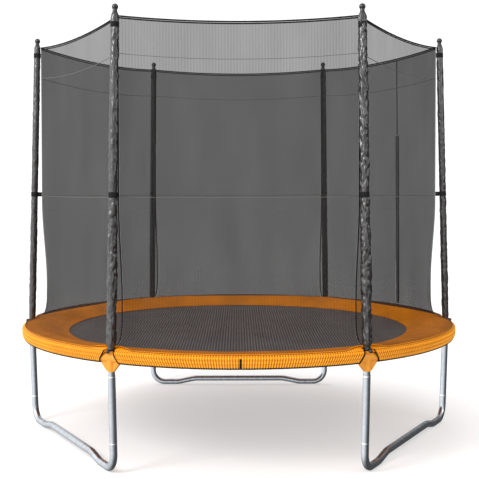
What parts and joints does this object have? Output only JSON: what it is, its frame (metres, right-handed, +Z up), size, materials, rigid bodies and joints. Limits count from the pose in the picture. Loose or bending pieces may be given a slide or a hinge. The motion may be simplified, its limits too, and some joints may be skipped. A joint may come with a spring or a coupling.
{
  "type": "trampoline",
  "caption": "Round garden trampoline with a spring bed, a padded rim with an elastic skirt, W-shaped legs and a zipped safety net held up by sleeved poles.",
  "frame": {"origin": "centre of the bed's axis on the floor, at the bottom centre of the part's box", "axes": "+Z up along the bed's axis; +X towards one net pole; -Y towards the front, midway between two poles"},
  "size_m": [2.4602, 2.44, 2.2096],
  "materials": {
    "steel_tube": "galvanised, satin",
    "connector_plastic": "moulded, gloss",
    "pad_cover": "coated cloth, satin",
    "mat_cloth": "woven, matt",
    "net_mesh": "knitted mesh, see-through",
    "sleeve_cloth": "woven, matt",
    "webbing": "woven, matt",
    "foam": "closed-cell foam",
    "cap_plastic": "moulded, gloss",
    "spring_steel": "zinc plated",
    "zip_cloth": "woven, matt",
    "zip_metal": "satin"
  },
  "bodies": {
    "frame": {"rail_1": "steel_tube", "connector_1": "connector_plastic", "leg_post_1": "steel_tube", "pole_lower_1": "steel_tube", "pole_upper_1": "steel_tube", "pole_sleeve_1": "sleeve_cloth", "net_panel_1": "net_mesh", "rail_2": "steel_tube", "connector_2": "connector_plastic", "leg_post_2": "steel_tube", "pole_lower_2": "steel_tube", "pole_upper_2": "steel_tube", "pole_sleeve_2": "sleeve_cloth", "net_panel_2": "net_mesh", "rail_3": "steel_tube", "connector_3": "connector_plastic", "leg_post_3": "steel_tube", "pole_lower_3": "steel_tube", "pole_upper_3": "steel_tube", "pole_sleeve_3": "sleeve_cloth", "net_panel_3": "net_mesh", "rail_4": "steel_tube", "connector_4": "connector_plastic", "leg_post_4": "steel_tube", "pole_lower_4": "steel_tube", "pole_upper_4": "steel_tube", "pole_sleeve_4": "sleeve_cloth", "net_panel_4": "net_mesh", "rail_5": "steel_tube", "connector_5": "connector_plastic", "leg_post_5": "steel_tube", "pole_lower_5": "steel_tube", "pole_upper_5": "steel_tube", "pole_sleeve_5": "sleeve_cloth", "net_panel_5": "net_mesh", "rail_6": "steel_tube", "connector_6": "connector_plastic", "leg_post_6": "steel_tube", "pole_lower_6": "steel_tube", "pole_upper_6": "steel_tube", "pole_sleeve_6": "sleeve_cloth", "net_panel_6": "net_mesh", "leg_base_1": "steel_tube", "leg_base_2": "steel_tube", "leg_base_3": "steel_tube", "safety_pad": "pad_cover", "pad_straps": "webbing", "springs": "spring_steel", "pole_caps": "cap_plastic", "pole_foams": "foam", "sleeve_ties": "webbing", "net_straps": "webbing", "net_bindings": "webbing", "net_top_rope": "webbing", "net_hem_cord": "webbing", "zip_tape": "zip_cloth"},
    "mat": {"jump_mat": "mat_cloth", "mat_webbing": "webbing", "mat_rings": "spring_steel"},
    "slider": {"zip_slider": "zip_metal"}
  },
  "joints": [
    {"name": "mat_bounce", "type": "slide", "parent": "frame", "child": "mat", "axis": [0, 0, 1], "range_m": [-0.3, 0], "stiffness_N_per_m": 3000, "springref_m": 0.04, "deforming": ["springs"]},
    {"name": "zip_slide", "type": "slide", "parent": "frame", "child": "slider", "axis": [-0.0023, -0.0074, 1], "range_m": [0, 0.97]}
  ]
}
